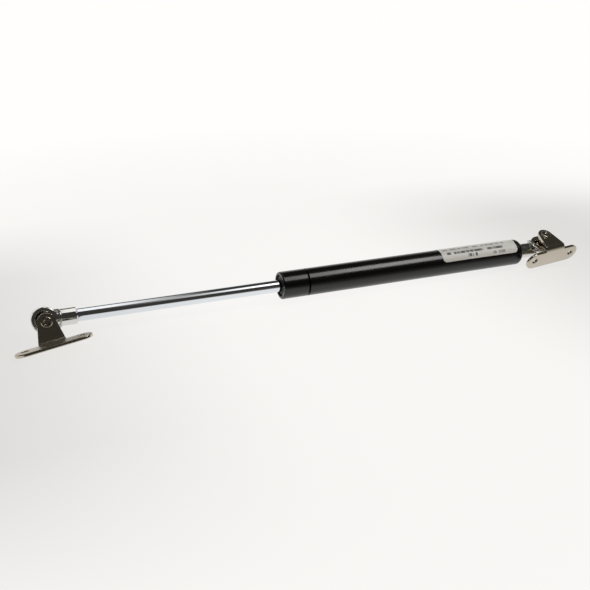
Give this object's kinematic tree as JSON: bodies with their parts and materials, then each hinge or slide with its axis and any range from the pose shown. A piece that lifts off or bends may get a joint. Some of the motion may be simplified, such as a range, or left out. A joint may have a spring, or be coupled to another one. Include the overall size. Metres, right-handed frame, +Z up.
{
  "type": "gas strut stay",
  "caption": "Gas strut stay: sprung piston rod in a black tube, with a ball socket and a pressed angle bracket at each end.",
  "frame": {"origin": "middle of the strut in plan, fully extended and as laid down, on the level it lies on", "axes": "+X along the strut from the rod end to the tube end, +Z up as it lies, +Y away from the side the brackets face"},
  "size_m": [0.3962, 0.0398, 0.0259],
  "materials": {
    "black_paint": "satin black enamel",
    "label_film": "printed film",
    "chromed_rod": "polished hard chrome",
    "zinc_socket": "bright zinc plate",
    "nickel_bracket": "bright nickel plate on pressed steel",
    "plain_steel": "bare turned steel",
    "spring_wire": "zinc-plated spring wire",
    "guide_plastic": "black acetal",
    "seal_rubber": "nitrile rubber",
    "piston_zinc": "die-cast zinc",
    "slide_ring": "filled PTFE"
  },
  "bodies": {
    "barrel": {"pressure_tube": "black_paint", "rod_guide": "guide_plastic", "rod_seal": "seal_rubber", "seal_backing_ring": "guide_plastic", "tube_end_plug": "plain_steel", "plug_o_ring": "seal_rubber", "label": "label_film", "tube_end_socket": "zinc_socket", "tube_end_clip": "spring_wire"},
    "piston_set": {"piston": "piston_zinc", "piston_ring": "slide_ring", "piston_front_washer": "plain_steel", "piston_rear_washer": "plain_steel"},
    "rod": {"piston_rod": "chromed_rod", "rod_end_socket": "zinc_socket", "rod_end_clip": "spring_wire"},
    "rod_end_stud": {"rod_end_ball_stud": "plain_steel"},
    "rod_end_bracket": {"rod_end_bracket": "nickel_bracket"},
    "tube_end_stud": {"tube_end_ball_stud": "plain_steel"},
    "tube_end_bracket": {"tube_end_bracket": "nickel_bracket"}
  },
  "joints": [
    {"name": "gas_stroke", "type": "slide", "parent": "barrel", "child": "piston_set", "axis": [1, 0, 0], "range_m": [0, 0.128], "stiffness_N_per_m": 310, "springref_m": -0.38},
    {"name": "rod_turn", "type": "hinge", "parent": "piston_set", "child": "rod", "pos_m": [-0.02824, 0.01093, 0.0117], "axis": [1, 0, 0], "continuous": true},
    {"name": "rod_end_tilt", "type": "hinge", "parent": "rod", "child": "rod_end_stud", "pos_m": [-0.17754, 0.01093, 0.0117], "axis": [0, -0.2605, -0.9655], "range_deg": [-12, 12]},
    {"name": "rod_end_swivel", "type": "hinge", "parent": "rod_end_stud", "child": "rod_end_bracket", "pos_m": [-0.17754, 0.01093, 0.0117], "axis": [0, 0.9655, -0.2605], "continuous": true},
    {"name": "tube_end_tilt", "type": "hinge", "parent": "barrel", "child": "tube_end_stud", "pos_m": [0.17426, 0.01093, 0.0117], "axis": [0, 0.9056, 0.4242], "range_deg": [-12, 12]},
    {"name": "tube_end_swivel", "type": "hinge", "parent": "tube_end_stud", "child": "tube_end_bracket", "pos_m": [0.17426, 0.01093, 0.0117], "axis": [0, 0.4242, -0.9056], "range_deg": [-180, 12]}
  ]
}
